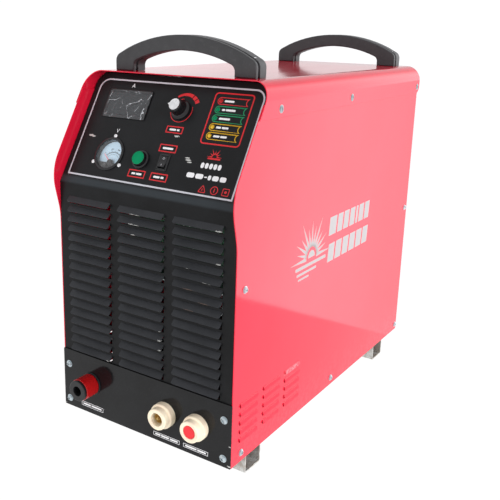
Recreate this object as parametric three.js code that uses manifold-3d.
// Free-standing air plasma cutter: a red sheet-metal case on two channel feet,
// with a sloped control panel, a louvered front, a connector plate and two carry handles.
// Millimetres, +Z up, front towards -Y, origin at the centre of the footprint on the floor.
import * as THREE from 'three';
import Module from 'manifold-3d';
import { mergeVertices } from 'three/addons/utils/BufferGeometryUtils.js';

const wasm = await Module();
wasm.setup();

// Case
const caseWidth = 330;
const caseLength = 648;
const footHeight = 29.8;
const bendHeight = 411.2;
const hoodTop = 578.3;
const slopeAngle = THREE.MathUtils.degToRad(30.9);
const sheet = 1.6;
const gap = 0.3;
const frontY = -caseLength / 2;
const rearY = caseLength / 2;
const halfWidth = caseWidth / 2;
const innerHalf = halfWidth - sheet - gap;

// Hood
const hoodSheet = 1.5;
const hoodHalf = 167;
const hoodRadius = 28;
const hoodBottom = 528;
const hoodOverhang = 5;
const sidePanelTop = 548;

// Sloped control panel and louvered front
const panelFaceY = frontY + 0.2;
const slopeLength = 189;
const wallRecess = 23.5;
const louverRows = 17;
const louverPitch = 15.37;
const louverTop = 388.8;
const louverWidth = 83;
const louverSpacing = 101.6;
const louverReach = 7;
const louverDrop = 6.2;
const louverSlot = 9.2;

// Connector plate
const plateFaceY = frontY - gap - sheet;
const plateTop = 131.2;
const fittingReach = 36;
const socketReach = fittingReach - gap - sheet;

// Feet
const footWidth = 44;
const footSheet = 2.2;
const frontFootSetback = 41.6;
const rearFootSetback = 74.7;

// Handles
const handleHalf = 128;
const handleDepth = 31;
const handleTop = 634.8;
const handleArchRadius = 257;
const handleLeg = 36;
const frontHandleY = -231;
const rearHandleY = 285;

// Finishes
const finish = (color, roughness, metalness) =>
  new THREE.MeshStandardMaterial({ color, roughness, metalness });
const redPaint = finish(0xd8202c, 0.18, 0);
const blackPaint = finish(0x2b2c2e, 0.32, 0);
const zinc = finish(0xc3c8c8, 0.4, 1);
const blackPlastic = finish(0x232427, 0.5, 0);
const smokedPlastic = finish(0x0c0d10, 0.1, 0);
const silver = finish(0xdedfe0, 0.25, 1);
const greenPlastic = finish(0x009a66, 0.4, 0);
const redPlastic = finish(0xc4161b, 0.4, 0);
const creamNylon = finish(0xf0e4cd, 0.55, 0);
const brass = finish(0xc09a4a, 0.35, 1);
const paleDial = finish(0xc6dced, 0.6, 0);
const clearPlastic = finish(0xe8eef2, 0.05, 0);
const boardGreen = finish(0x1d5a3c, 0.6, 0);
const aluminium = finish(0xb4b8bc, 0.4, 1);
const darkCore = finish(0x37322f, 0.6, 0.3);
const yellowPlastic = finish(0xd9b21a, 0.4, 0);

// Geometry helpers
const basis = (x, y, z, origin) =>
  new THREE.Matrix4().makeBasis(new THREE.Vector3(...x), new THREE.Vector3(...y), new THREE.Vector3(...z))
    .setPosition(...origin);

// Frames whose local axes are across, up along the face, and out of the face
const slopeUp = [0, Math.sin(slopeAngle), Math.cos(slopeAngle)];
const slopeOut = [0, -Math.cos(slopeAngle), Math.sin(slopeAngle)];
const slopeFrame = basis([1, 0, 0], slopeUp, slopeOut, [0, panelFaceY, bendHeight]);
const plateFrame = basis([1, 0, 0], [0, 0, 1], [0, -1, 0], [0, plateFaceY, 0]);
const rearFrame = basis([-1, 0, 0], [0, 0, 1], [0, 1, 0], [0, rearY, 0]);
const worldFrame = new THREE.Matrix4();

function solid(geometry) {
  const bare = geometry.clone();
  bare.deleteAttribute('normal');
  bare.deleteAttribute('uv');
  const merged = mergeVertices(bare, 1e-4);
  const mesh = new wasm.Mesh({
    numProp: 3,
    vertProperties: new Float32Array(merged.attributes.position.array),
    triVerts: new Uint32Array(merged.index.array),
  });
  return new wasm.Manifold(mesh);
}

function geometryOf(body) {
  const mesh = body.getMesh();
  const geometry = new THREE.BufferGeometry();
  geometry.setAttribute('position', new THREE.BufferAttribute(mesh.vertProperties, 3));
  geometry.setIndex(new THREE.BufferAttribute(mesh.triVerts, 1));
  geometry.computeVertexNormals();
  return geometry;
}

const join = (first, ...others) =>
  geometryOf(others.reduce((sum, next) => sum.add(solid(next)), solid(first)));
const cut = (first, ...tools) =>
  geometryOf(tools.reduce((left, tool) => left.subtract(solid(tool)), solid(first)));
const keepInside = (first, tool) => geometryOf(solid(first).intersect(solid(tool)));

function block([x0, x1], [y0, y1], [z0, z1]) {
  const geometry = new THREE.BoxGeometry(x1 - x0, y1 - y0, z1 - z0);
  return geometry.translate((x0 + x1) / 2, (y0 + y1) / 2, (z0 + z1) / 2);
}

// A block centred across the frame's face: [x, y], [width, height], depth span
const blockAt = ([x, y], [width, height], depth) =>
  block([x - width / 2, x + width / 2], [y - height / 2, y + height / 2], depth);

// A round bar along the frame's out axis, from depth n0 to n1
function rod(radius, n0, n1, x = 0, y = 0, sides = 16) {
  const geometry = new THREE.CylinderGeometry(radius, radius, n1 - n0, sides);
  return geometry.rotateX(Math.PI / 2).translate(x, y, (n0 + n1) / 2);
}

// A turned piece: [radius, depth] pairs that start and end on the axis, or close on themselves
function turned(profile, x = 0, y = 0, sides = 18) {
  const points = profile.map(([radius, depth]) => new THREE.Vector2(radius, depth));
  return new THREE.LatheGeometry(points, sides).rotateX(Math.PI / 2).translate(x, y, 0);
}

// A closed outline with rounded corners: [u, v, radius]
function roundedOutline(corners, stepsPerCorner = 6) {
  const points = [];
  corners.forEach(([u, v, radius = 0], index) => {
    const here = new THREE.Vector2(u, v);
    if (!radius) {
      points.push(here);
      return;
    }
    const towards = (corner) => new THREE.Vector2(corner[0], corner[1]).sub(here).normalize();
    const before = towards(corners.at(index - 1));
    const after = towards(corners[(index + 1) % corners.length]);
    const half = Math.acos(before.dot(after)) / 2;
    const centre = before.clone().add(after).setLength(radius / Math.sin(half)).add(here);
    const first = before.clone().multiplyScalar(radius / Math.tan(half)).add(here).sub(centre);
    const last = after.clone().multiplyScalar(radius / Math.tan(half)).add(here).sub(centre);
    const turn = Math.atan2(first.cross(last), first.dot(last));
    for (let step = 0; step <= stepsPerCorner; step += 1) {
      const spoke = first.clone().rotateAround(new THREE.Vector2(), (turn * step) / stepsPerCorner);
      points.push(spoke.add(centre));
    }
  });
  return points;
}

const extruded = (points, depth) => new THREE.ExtrudeGeometry(new THREE.Shape(points), {
  depth,
  bevelEnabled: false,
});

const outlineOf = (pairs) => pairs.map(([u, v]) => new THREE.Vector2(u, v));

// Outlines in (Y, Z) run along X, outlines in (X, Z) run along Y, outlines in (X, Y) run along Z
const alongX = (points, x0, x1) =>
  extruded(points, x1 - x0).applyMatrix4(basis([0, 1, 0], [0, 0, 1], [1, 0, 0], [x0, 0, 0]));
const alongY = (points, y0, y1) =>
  extruded(points, y1 - y0).applyMatrix4(basis([1, 0, 0], [0, 0, 1], [0, -1, 0], [0, y1, 0]));
const alongZ = (points, z0, z1) => extruded(points, z1 - z0).translate(0, 0, z0);

const cutter = new THREE.Group();

function addNode(name, geometry, material, frame = worldFrame) {
  const mesh = new THREE.Mesh(geometry, material);
  mesh.name = name;
  mesh.applyMatrix4(frame);
  cutter.add(mesh);
}

const moved = (geometry, frame) => geometry.clone().applyMatrix4(frame);

// Edge of the side walls in front of the sloped panel: (Y, Z) on the line that stands proud of it
const wallEdgeY = (z) =>
  frontY + (z - bendHeight) * Math.tan(slopeAngle) - wallRecess / Math.cos(slopeAngle);

function makeFeet() {
  const channel = (y0) => {
    const top = footHeight - gap;
    const y1 = y0 + footWidth;
    const section = outlineOf([
      [y0, 0], [y1, 0], [y1, top], [y1 - footSheet, top],
      [y1 - footSheet, footSheet], [y0 + footSheet, footSheet], [y0 + footSheet, top], [y0, top],
    ]);
    return alongX(section, -halfWidth + 1, halfWidth - 1);
  };
  addNode('front_foot_channel', channel(frontY + frontFootSetback), zinc);
  addNode('rear_foot_channel', channel(rearY - rearFootSetback - footWidth), zinc);
}

function makeChassis() {
  const flange = 24;
  const thick = 2;
  const front = panelFaceY + sheet + gap;
  const rear = rearY - sheet - gap;
  const floor = footHeight + thick;
  const hollowHalf = innerHalf - thick;
  const tray = cut(
    block([-innerHalf, innerHalf], [front, rear], [footHeight, footHeight + flange]),
    block([-hollowHalf, hollowHalf], [front + thick, rear - thick], [floor, floor + flange]),
    ...plateScrews.map(([x, z]) => moved(rod(screwHoleRadius, -12, 0, x, z, 12), plateFrame)),
  );
  addNode('base_chassis', tray, zinc);
}

function makeSidePanels() {
  const wallFoot = 362.9;
  const apex = 429.6;
  const outline = roundedOutline([
    [frontY, footHeight],
    [frontY, wallFoot, 100],
    [wallEdgeY(apex), apex, 72],
    [wallEdgeY(sidePanelTop), sidePanelTop],
    [rearY, sidePanelTop],
    [rearY, footHeight],
  ], 8);
  const ventLength = 48;
  const ventColumns = [68, 134, 200];
  const ventRows = 5;
  const ventPitch = 13.9;
  const ventTop = 124;
  const ventDrop = 5;
  const ventReach = 3.5;
  const ventFlap = [
    [0, 0], [ventReach, -ventDrop], [ventReach - 1.1, -ventDrop - 0.5], [-1.4, -0.2], [-1.4, 0.8], [0, 0.8],
  ];
  for (const [name, side] of [['left_side_panel', -1], ['right_side_panel', 1]]) {
    const outer = side * halfWidth;
    const span = [outer, outer - side * sheet].sort((a, b) => a - b);
    const slots = [];
    const flaps = [];
    for (const column of ventColumns) {
      for (let row = 0; row < ventRows; row += 1) {
        const y1 = frontY + column;
        const y0 = y1 - ventLength;
        const z = ventTop - row * ventPitch;
        slots.push(block([span[0] - 1, span[1] + 1], [y0, y1], [z - ventDrop - 1, z]));
        const points = outlineOf(ventFlap.map(([x, dz]) => [outer + side * x, z + dz]));
        flaps.push(alongY(side > 0 ? points.reverse() : points, y0, y1));
      }
    }
    addNode(name, join(cut(alongX(outline, ...span), ...slots), ...flaps), redPaint);
  }
}

const hoodOutline = (half, radius, top, bottom) => [
  [half, bottom], [half, top, radius], [-half, top, radius], [-half, bottom],
];

const insideHood = (inset, bottom) =>
  hoodOutline(hoodHalf - inset, hoodRadius - inset, hoodTop - inset, bottom);

function makeHood() {
  const outer = roundedOutline(hoodOutline(hoodHalf, hoodRadius, hoodTop, hoodBottom), 8);
  const inner = roundedOutline(insideHood(hoodSheet, hoodBottom), 8).reverse();
  const shell = alongY([...outer, ...inner], frontY, rearY + hoodOverhang);
  // Everything in front of the slanted wall line is cut away
  const ahead = frontY - 200;
  const high = hoodTop + 200;
  const low = 300;
  const wedge = outlineOf([[wallEdgeY(low), low], [wallEdgeY(high), high], [ahead, high], [ahead, low]]);
  addNode('top_hood', cut(shell, alongX(wedge, -caseWidth, caseWidth)), redPaint);
}

// Ammeter, voltmeter, knob, button, switch and lamps: [across, up the slope]
const ammeterAt = [-85, 138];
const voltmeterAt = [-85.3, 54.6];
const knobAt = [18, 136.5];
const buttonAt = [-22.5, 52.8];
const rockerAt = [18, 54];
const lampX = 79.5;
const lampPitch = 13.5;
const lampTop = 157;
const lampNames = ['power_lamp', 'air_pressure_lamp', 'cutting_lamp', 'overload_lamp', 'input_fault_lamp'];
const lampHeights = lampNames.map((_, index) => lampTop - index * lampPitch);
const ammeterCutout = [80, 44];
const voltmeterCutout = 25.6;
const knobHole = 5.1;
const buttonHole = 12.5;
const rockerCutout = [15, 21];
const lampHole = 2.8;

// Everything that fits under the hood is trimmed to its inner outline
const underHood = () =>
  alongY(roundedOutline(insideHood(hoodSheet + 0.5, 0), 6), frontY - 50, rearY + 50);

const plateScrews = [[-152.6, 105.7], [152.6, 105.7], [-152.6, 43.9], [152.6, 43.9]];
const groundAt = [-103.7, 84.5];
const torchAt = [46.5, 80];
const outletAt = [106.5, 80];
const screwHoleRadius = 3.3;
const groundHole = 13;
const torchHole = 9.4;

function makeFrontPanel() {
  const bottom = footHeight + gap;
  const upperY = panelFaceY + slopeUp[1] * slopeLength;
  const upperZ = bendHeight + slopeUp[2] * slopeLength;
  const shift = sheet * Math.tan(slopeAngle / 2);
  const face = outlineOf([
    [panelFaceY, bottom], [panelFaceY, bendHeight], [upperY, upperZ],
    [upperY - slopeOut[1] * sheet, upperZ - slopeOut[2] * sheet],
    [panelFaceY + sheet, bendHeight - shift], [panelFaceY + sheet, bottom],
  ]).reverse();
  const blank = keepInside(alongX(face, -innerHalf, innerHalf), underHood());
  const columns = [-louverSpacing, 0, louverSpacing];
  const tools = [];
  const flaps = [];
  for (const x of columns) {
    const [x0, x1] = [x - louverWidth / 2, x + louverWidth / 2];
    for (let row = 0; row < louverRows; row += 1) {
      const z = louverTop - row * louverPitch;
      const foot = panelFaceY - louverReach;
      tools.push(block([x0, x1], [panelFaceY - 1, panelFaceY + sheet + 1], [z - louverSlot, z - 0.4]));
      const flap = outlineOf([
        [panelFaceY + 1.2, z + 0.8], [panelFaceY + 1.2, z - 0.6], [foot + 0.9, z - louverDrop - 1],
        [foot, z - louverDrop], [panelFaceY, z + 0.8],
      ]);
      flaps.push(alongX(flap.reverse(), x0, x1));
    }
  }
  const through = [-20, 20];
  const onSlope = [
    blockAt(ammeterAt, ammeterCutout, through),
    rod(voltmeterCutout, ...through, ...voltmeterAt, 24),
    rod(knobHole, ...through, ...knobAt),
    rod(buttonHole, ...through, ...buttonAt),
    blockAt(rockerAt, rockerCutout, through),
    ...lampHeights.map((height) => rod(lampHole, ...through, lampX, height, 10)),
  ];
  const connectorOpening = block([-140, 140], [frontY - 5, frontY + 10], [52, 118]);
  const pierced = cut(
    blank,
    ...tools,
    connectorOpening,
    ...plateScrews.map(([x, z]) => moved(rod(screwHoleRadius, -12, 5, x, z, 12), plateFrame)),
    ...onSlope.map((tool) => moved(tool, slopeFrame)),
  );
  addNode('front_panel', join(pierced, ...flaps), blackPaint);
}

function makeConnectorPlate() {
  const blank = block([-halfWidth, halfWidth], [plateFaceY, plateFaceY + sheet], [footHeight, plateTop]);
  const holes = [
    rod(groundHole, -9, 5, ...groundAt),
    rod(torchHole, -9, 5, ...torchAt),
    rod(torchHole, -9, 5, ...outletAt),
    ...plateScrews.map(([x, z]) => rod(screwHoleRadius, -9, 5, x, z, 12)),
  ];
  addNode('connector_plate', cut(blank, ...holes.map((hole) => moved(hole, plateFrame))), blackPaint);
  plateScrews.forEach(([x, z], index) => {
    // Pan head, 12 mm across, on an M6 shank
    const profile = [[0, -9], [2.8, -9], [2.8, gap], [6, gap], [6, 1.6], [5.2, 3], [3.4, 3.9], [0, 4.2]];
    addNode(`plate_screw_${index + 1}`, turned(profile, x, z, 12), zinc, plateFrame);
  });
}

function makeGroundSocket() {
  // Insulated body with a stepped nose, a red collar ring around it and a brass contact sleeve inside
  const body = turned([
    [9.2, -30], [12.4, -30], [12.4, gap], [19, gap], [19, 2.4], [15.2, 2.4], [15.2, socketReach - 1.2],
    [14, socketReach], [8.2, socketReach], [8.2, 6], [9.2, 6], [9.2, -30],
  ], ...groundAt, 20);
  addNode('ground_socket_body', body, blackPlastic, plateFrame);
  const ring = turned([
    [15.5, 2.8], [17, 2.8], [17.8, 4.4], [17.8, 29.5], [17, 31], [15.5, 31], [15.5, 2.8],
  ], ...groundAt, 20);
  addNode('ground_socket_ring', ring, redPlastic, plateFrame);
  const contact = turned([
    [0, -34], [8.8, -34], [8.8, 5.6], [6.2, 5.6], [6.2, -12], [0, -12],
  ], ...groundAt, 16);
  addNode('ground_socket_contact', contact, brass, plateFrame);
}

function nylonConnector(name, at) {
  const profile = [
    [0, -26], [9, -26], [9, gap], [20, gap], [20, 10.2], [19, 11.4], [16.8, 11.8], [16.8, 21.2], [15.6, 22.4],
    [10.4, 22.4], [10.4, 8], [0, 8],
  ];
  addNode(name, turned(profile, ...at, 20), creamNylon, plateFrame);
}

function makeTorchConnectors() {
  nylonConnector('torch_connector_body', torchAt);
  const pin = turned([
    [0, 8.3], [9.6, 8.3], [9.6, 9.6], [8.4, 9.6], [8.4, 15], [7.2, 15], [7.2, 9.6], [2.2, 9.6], [2.2, 18.5],
    [1.4, 19.6], [0, 19.6],
  ], ...torchAt, 14);
  addNode('torch_connector_pin', pin, brass, plateFrame);
  nylonConnector('outlet_connector_body', outletAt);
  const cap = turned([[0, 9], [10, 9], [10, 21.4], [9.4, 22.2], [0, 22.6]], ...outletAt, 16);
  addNode('outlet_dust_cap', cap, redPlastic, plateFrame);
}

function makeAmmeter() {
  const flange = blockAt(ammeterAt, [84, 48], [gap, 2.6]);
  const box = blockAt(ammeterAt, [79, 43], [-42, 2.6]);
  const pocket = blockAt(ammeterAt, [74, 38], [-38, 10]);
  addNode('ammeter_case', cut(join(flange, box), pocket), blackPlastic, slopeFrame);
  addNode('ammeter_window', blockAt(ammeterAt, [73.4, 37.4], [0.2, 2]), smokedPlastic, slopeFrame);
}

// The needle turns about an axle below the middle of the dial; it rests at the left end of its scale
const needlePivot = [voltmeterAt[0] + 3.2, voltmeterAt[1] - 12];
const needleRest = THREE.MathUtils.degToRad(52);

function makeVoltmeter() {
  const profile = [
    [0, -46], [24.9, -46], [24.9, gap], [27, gap], [27, 1.4], [26, 2], [23.2, 2], [23.2, -8], [0, -8],
  ];
  addNode('voltmeter_case', turned(profile, ...voltmeterAt, 24), blackPlastic, slopeFrame);
  addNode('voltmeter_dial', rod(22.8, -7.7, -6.5, ...voltmeterAt, 24), paleDial, slopeFrame);
  addNode('voltmeter_lens', rod(22.8, -0.9, 0.6, ...voltmeterAt, 24), clearPlastic, slopeFrame);
  const outline = outlineOf([
    [-1, -4], [1, -4], [2.4, 0], [0.9, 3], [0.25, 22], [-0.25, 22], [-0.9, 3], [-2.4, 0],
  ]);
  const needle = join(alongZ(outline, -4.6, -3.8), rod(1.6, -6.2, -2.4, 0, 0, 12));
  needle.rotateZ(needleRest).translate(...needlePivot, 0);
  addNode('voltmeter_needle', needle, redPlastic, slopeFrame);
}

function makeKnob() {
  const pot = turned([
    [3.3, -17], [12, -17], [12, -2], [4.8, -2], [4.8, 4], [3.3, 4], [3.3, -17],
  ], ...knobAt, 14);
  addNode('potentiometer_body', pot, zinc, slopeFrame);
  addNode('potentiometer_shaft', rod(3, -15, 15.6, ...knobAt, 12), silver, slopeFrame);
  const knob = turned([
    [0, 16], [3.3, 16], [3.3, 6], [6.2, 6], [6.2, 0.6], [14.5, 0.6], [15.5, 1], [15.5, 5.4], [11.4, 7],
    [10.6, 19], [9.8, 20], [0, 20],
  ], ...knobAt, 20);
  addNode('current_knob', knob, blackPlastic, slopeFrame);
  const disc = rod(8.8, 20.3, 21.5, 0, 0, 20);
  const nib = alongZ(outlineOf([[-8, 2.2], [-11.6, 0], [-8, -2.2]]), 20.3, 21.1);
  addNode('knob_cap', join(disc, nib).translate(knobAt[0], knobAt[1], 0), silver, slopeFrame);
}

function makeAirTestButton() {
  const housing = turned([
    [0, -28], [12.2, -28], [12.2, gap], [14.2, gap], [14.2, 3.4], [13.4, 4.2], [10.9, 4.2], [10.9, -8],
    [0, -8],
  ], ...buttonAt, 18);
  addNode('air_test_switch', housing, blackPlastic, slopeFrame);
  const cap = turned([[0, -3.5], [10.5, -3.5], [10.5, 8.8], [9.6, 9.8], [0, 10]], ...buttonAt, 18);
  addNode('air_test_button', cap, greenPlastic, slopeFrame);
}

// Half of the rocker's full throw, so that it rests with its upper end pressed in
const rockerTilt = THREE.MathUtils.degToRad(8);

function makeModeSwitch() {
  const flange = blockAt(rockerAt, [19, 26], [gap, 1.8]);
  const box = blockAt(rockerAt, [14.4, 20.4], [-22, 1.8]);
  const well = blockAt(rockerAt, [12.4, 18.6], [-9, 10]);
  addNode('mode_switch_frame', cut(join(flange, box), well), blackPlastic, slopeFrame);
  const section = outlineOf([[-8.4, -1.5], [0, -4.5], [8.4, -1.5], [8.6, 3.4], [0, 1.9], [-8.6, 3.4]]);
  const rocker = alongX(section, -5.9, 5.9).rotateX(-rockerTilt).translate(...rockerAt, 0);
  addNode('mode_rocker', rocker, blackPlastic, slopeFrame);
}

function makeLamps() {
  const lampFinish = [redPlastic, greenPlastic, greenPlastic, yellowPlastic, yellowPlastic];
  lampNames.forEach((name, index) => {
    const profile = [[0, -6], [3.4, -6], [3.4, -5], [2.5, -5], [2.5, 0.6], [1.6, 1.5], [0, 1.9]];
    const lamp = turned(profile, lampX, lampHeights[index], 10);
    addNode(name, lamp, lampFinish[index], slopeFrame);
  });
  const board = block([lampX - 22, lampX + 30], [lampTop - 66, lampTop + 12], [-8, -6.3]);
  addNode('indicator_board', board, boardGreen, slopeFrame);
}

function makeHandles() {
  const base = hoodTop + gap;
  const archCentre = handleTop - handleArchRadius;
  const archZ = (x) => archCentre + Math.sqrt(handleArchRadius ** 2 - x ** 2);
  const arcPoints = (half, centre, radius, steps) => Array.from({ length: steps + 1 }, (_, index) => {
    const x = half * (1 - (2 * index) / steps);
    return [x, centre + Math.sqrt(radius ** 2 - x ** 2)];
  });
  const outer = roundedOutline([
    [handleHalf, base], [handleHalf, archZ(handleHalf), 13],
    ...arcPoints(100, archCentre, handleArchRadius, 10),
    [-handleHalf, archZ(handleHalf), 13], [-handleHalf, base],
  ], 4);
  const innerHalfSpan = handleHalf - handleLeg;
  const innerTop = 612.3;
  const innerRadius = 231;
  const innerCentre = innerTop - innerRadius;
  const cornerZ = innerCentre + Math.sqrt(innerRadius ** 2 - innerHalfSpan ** 2);
  const inner = roundedOutline([
    [innerHalfSpan, base], [innerHalfSpan, cornerZ, 10],
    ...arcPoints(72, innerCentre, innerRadius, 8),
    [-innerHalfSpan, cornerZ, 10], [-innerHalfSpan, base],
  ], 4).reverse();
  const outline = [...outer, ...inner];
  addNode('front_handle', alongY(outline, frontHandleY, frontHandleY + handleDepth), blackPlastic);
  addNode('rear_handle', alongY(outline, rearHandleY, rearHandleY + handleDepth), blackPlastic);
}

// Rear: fan, cable gland, breaker, air inlet and ground stud: [across seen from behind, height]
const fanAt = [0, 390];
const glandAt = [-110, 90];
const breakerAt = [-108, 175];
const inletAt = [104, 95];
const studAt = [120, 170];
const breakerTilt = THREE.MathUtils.degToRad(22);
const fanBore = 79;
const fanFrameSize = 172;
const fanDepth = 50;
const rearVentRows = 8;
const rearVentPitch = 17;
const rearVentSlot = 6;
const rearVentBottom = 62;

function makeRearPanel() {
  const blank = keepInside(
    block([-innerHalf, innerHalf], [rearY - sheet, rearY], [footHeight + gap, hoodTop - hoodSheet - 0.6]),
    underHood(),
  );
  const holes = [
    rod(fanBore + 0.5, -9, 9, ...fanAt, 28),
    rod(11.4, -9, 9, ...glandAt),
    blockAt(breakerAt, [36.6, 46.6], [-9, 9]),
    rod(7.4, -9, 9, ...inletAt),
    rod(4.4, -9, 9, ...studAt, 12),
    ...Array.from({ length: rearVentRows }, (_, row) => {
      const z = rearVentBottom + row * rearVentPitch;
      return block([-52, 62], [z, z + rearVentSlot], [-9, 9]);
    }),
  ];
  addNode('rear_panel', cut(blank, ...holes.map((hole) => moved(hole, rearFrame))), blackPaint);
}

function makeRearFittings() {
  const gland = turned([
    [6, -16], [11, -16], [11, gap], [17, gap], [17, 8], [14.5, 8.6], [14.5, 22], [10, 27], [6, 27], [6, -16],
  ], ...glandAt, 18);
  addNode('mains_cable_gland', gland, blackPlastic, rearFrame);

  const box = blockAt(breakerAt, [36, 46], [-58, 3]);
  const flange = blockAt(breakerAt, [42, 52], [gap, 3]);
  const well = blockAt(breakerAt, [17.2, 22], [-9, 9]);
  addNode('breaker_body', cut(join(box, flange), well), blackPlastic, rearFrame);
  const lever = join(rod(6, -8, 8, 0, 0, 20).rotateY(Math.PI / 2), block([-8, 8], [-2.2, 2.2], [3, 15]));
  lever.rotateX(breakerTilt).translate(...breakerAt, -2.4);
  addNode('breaker_toggle', lever, blackPlastic, rearFrame);

  const inlet = turned([
    [2.6, -14], [7, -14], [7, gap], [11, gap], [11, 9], [7, 10], [7, 14], [5.6, 15], [6.4, 18], [4.8, 22],
    [6.4, 23], [4.8, 28], [6.4, 29], [4.6, fittingReach], [2.6, fittingReach], [2.6, -14],
  ], ...inletAt, 14);
  addNode('air_inlet_fitting', inlet, brass, rearFrame);

  const stud = turned([
    [0, -12], [4, -12], [4, gap], [9, gap], [9, 1.8], [7.4, 2.1], [7.4, 8], [4, 8.4], [4, 16], [0, 17],
  ], ...studAt, 12);
  addNode('ground_stud', stud, brass, rearFrame);
}

function makeFan() {
  const [x, y] = fanAt;
  const back = -sheet - gap;
  const frame = cut(
    blockAt(fanAt, [fanFrameSize, fanFrameSize], [back - fanDepth, back]),
    rod(fanBore, back - fanDepth + 5, 5, x, y, 28),
    rod(fanBore - 8, -90, 5, x, y, 28),
  );
  // Spider that carries the motor, on the inner side of the bore
  const spider = [
    rod(26, back - fanDepth, back - fanDepth + 10, x, y, 24),
    block([x - 80, x + 80], [y - 4, y + 4], [back - fanDepth, back - fanDepth + 5]),
    block([x - 4, x + 4], [y - 80, y + 80], [back - fanDepth, back - fanDepth + 5]),
  ];
  addNode('fan_frame', join(frame, ...spider), blackPlastic, rearFrame);

  const blades = Array.from({ length: 7 }, (_, index) => {
    const blade = block([24, 75], [-1.2, 1.2], [-15, 15]).rotateX(THREE.MathUtils.degToRad(52));
    return blade.rotateZ((index * 2 * Math.PI) / 7).translate(x, y, back - 24);
  });
  const hub = rod(28, back - fanDepth + 11, back - 4, x, y, 20);
  addNode('fan_rotor', join(hub, ...blades), blackPlastic, rearFrame);

  const wire = 1.5;
  const [low, high] = [5 - wire, 5 + wire];
  const rings = [34, 56, 78].map((radius) => {
    const [inner, outer] = [radius - wire, radius + wire];
    return turned([[inner, low], [outer, low], [outer, high], [inner, high], [inner, low]], x, y, 24);
  });
  const spokes = Array.from({ length: 4 }, (_, index) => {
    const spoke = block([-88, 88], [-1.6, 1.6], [3.6, 6.6]).rotateZ((index * Math.PI) / 4);
    return spoke.translate(x, y, 0);
  });
  const feet = [[62, 62], [-62, 62], [62, -62], [-62, -62]]
    .map(([across, up]) => rod(5, gap, 6.6, x + across, y + up, 12));
  addNode('fan_guard', join(rod(22, 3.6, 6.2, x, y, 20), ...spokes, ...rings, ...feet), zinc, rearFrame);
}

function makeInternals() {
  const shelfZ = 250;
  const half = innerHalf - 1;
  const shelf = join(
    block([-half, half], [-230, 230], [shelfZ, shelfZ + 2]),
    block([-half, -half + 2], [-230, 230], [shelfZ - 20, shelfZ + 2]),
    block([half - 2, half], [-230, 230], [shelfZ - 20, shelfZ + 2]),
  );
  addNode('component_shelf', shelf, zinc);
  const onShelf = shelfZ + 2 + gap;

  const fins = Array.from({ length: 10 }, (_, index) => {
    const x = -92 + index * 20;
    return block([x, x + 3], [-90, 150], [onShelf, onShelf + 60]);
  });
  const finBase = block([-100, 100], [-90, 150], [onShelf + 55, onShelf + 66]);
  addNode('heatsink', join(finBase, ...fins), aluminium);
  const boardZ = onShelf + 66 + gap;
  addNode('power_board', block([-110, 110], [-100, 160], [boardZ + 8, boardZ + 10]), boardGreen);
  [['bus_capacitor_1', -45], ['bus_capacitor_2', 45]].forEach(([name, x]) => {
    addNode(name, rod(30, boardZ + 10 + gap, boardZ + 95, x, 20, 24), blackPlastic);
  });
  addNode('control_board', block([-120, 120], [-196, -194], [onShelf, onShelf + 150]), boardGreen);

  const deck = footHeight + 2 + gap;
  const core = join(
    block([-50, 50], [40, 130], [deck, deck + 120]),
    block([-58, 58], [20, 150], [deck + 24, deck + 96]),
  );
  addNode('main_transformer', core, darkCore);
  const choke = join(
    block([-45, 45], [-110, -30], [deck, deck + 90]),
    block([-50, 50], [-125, -15], [deck + 18, deck + 72]),
  );
  addNode('output_choke', choke, darkCore);
  const starter = join(
    block([75, 145], [-150, -20], [deck, deck + 3]),
    rod(26, deck, deck + 70, 110, -85, 24),
  );
  addNode('arc_start_unit', starter, darkCore);
  const valve = join(
    block([-135, -95], [-60, -10], [deck, deck + 40]),
    rod(17, deck + 35, deck + 85, -115, -35, 20),
  );
  addNode('solenoid_valve', valve, brass);
}

makeFeet();
makeChassis();
makeSidePanels();
makeHood();
makeFrontPanel();
makeConnectorPlate();
makeGroundSocket();
makeTorchConnectors();
makeAmmeter();
makeVoltmeter();
makeKnob();
makeAirTestButton();
makeModeSwitch();
makeLamps();
makeHandles();
makeRearPanel();
makeRearFittings();
makeFan();
makeInternals();

export default cutter;
